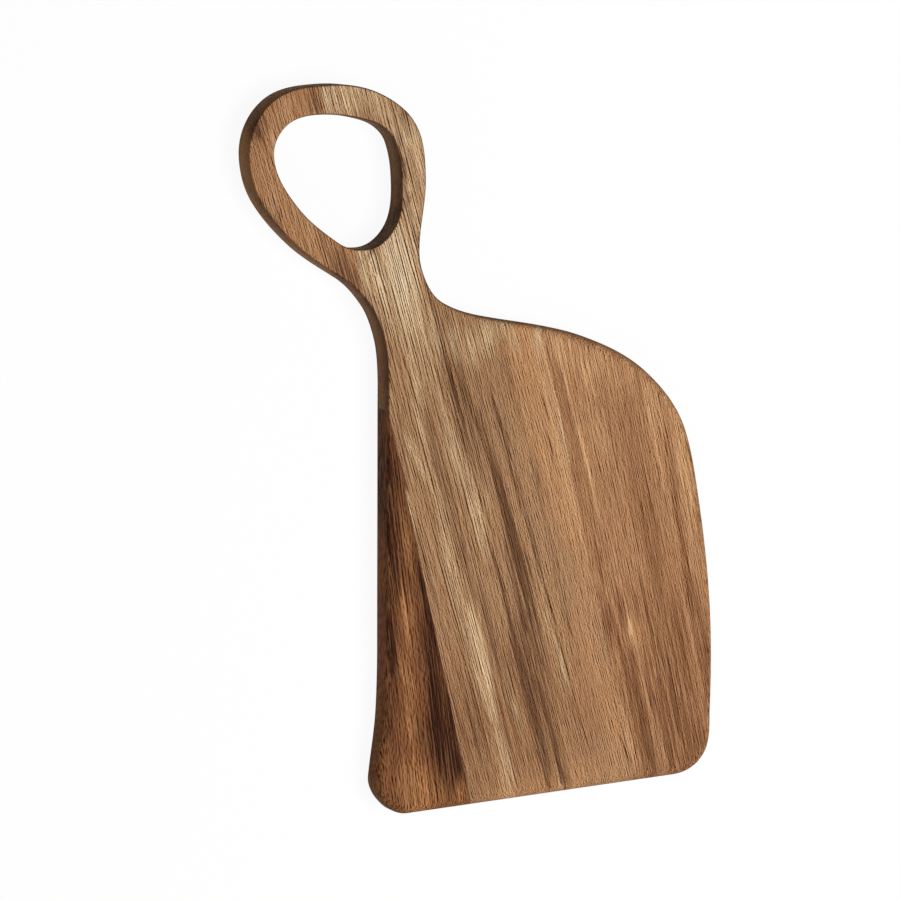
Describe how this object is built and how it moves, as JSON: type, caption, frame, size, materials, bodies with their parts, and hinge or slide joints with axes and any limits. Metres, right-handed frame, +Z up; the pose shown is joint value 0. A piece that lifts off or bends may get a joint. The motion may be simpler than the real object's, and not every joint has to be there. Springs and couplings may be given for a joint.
{
  "type": "paddle charcuterie board",
  "caption": "Flat wooden serving board with a rounded shoulder and an open finger loop on a leaning neck, edge-glued from skewed acacia planks.",
  "frame": {"origin": "centre of the board's box, on the underside", "axes": "+X along the straight foot edge towards the right plank, +Y from the foot edge towards the finger loop, +Z up out of the serving face"},
  "size_m": [0.2734, 0.4102, 0.016],
  "materials": {
    "acacia_loop": "oiled, sanded",
    "acacia_middle": "oiled, sanded",
    "acacia_right": "oiled, sanded",
    "acacia_heel": "oiled, sanded",
    "wood_glue": "cured, satin"
  },
  "bodies": {
    "root": {"loop_stave": "acacia_loop", "middle_stave": "acacia_middle", "right_stave": "acacia_right", "heel_stave": "acacia_heel", "loop_top_glue": "wood_glue", "loop_neck_glue": "wood_glue", "heel_glue": "wood_glue", "right_glue": "wood_glue"}
  },
  "joints": []
}
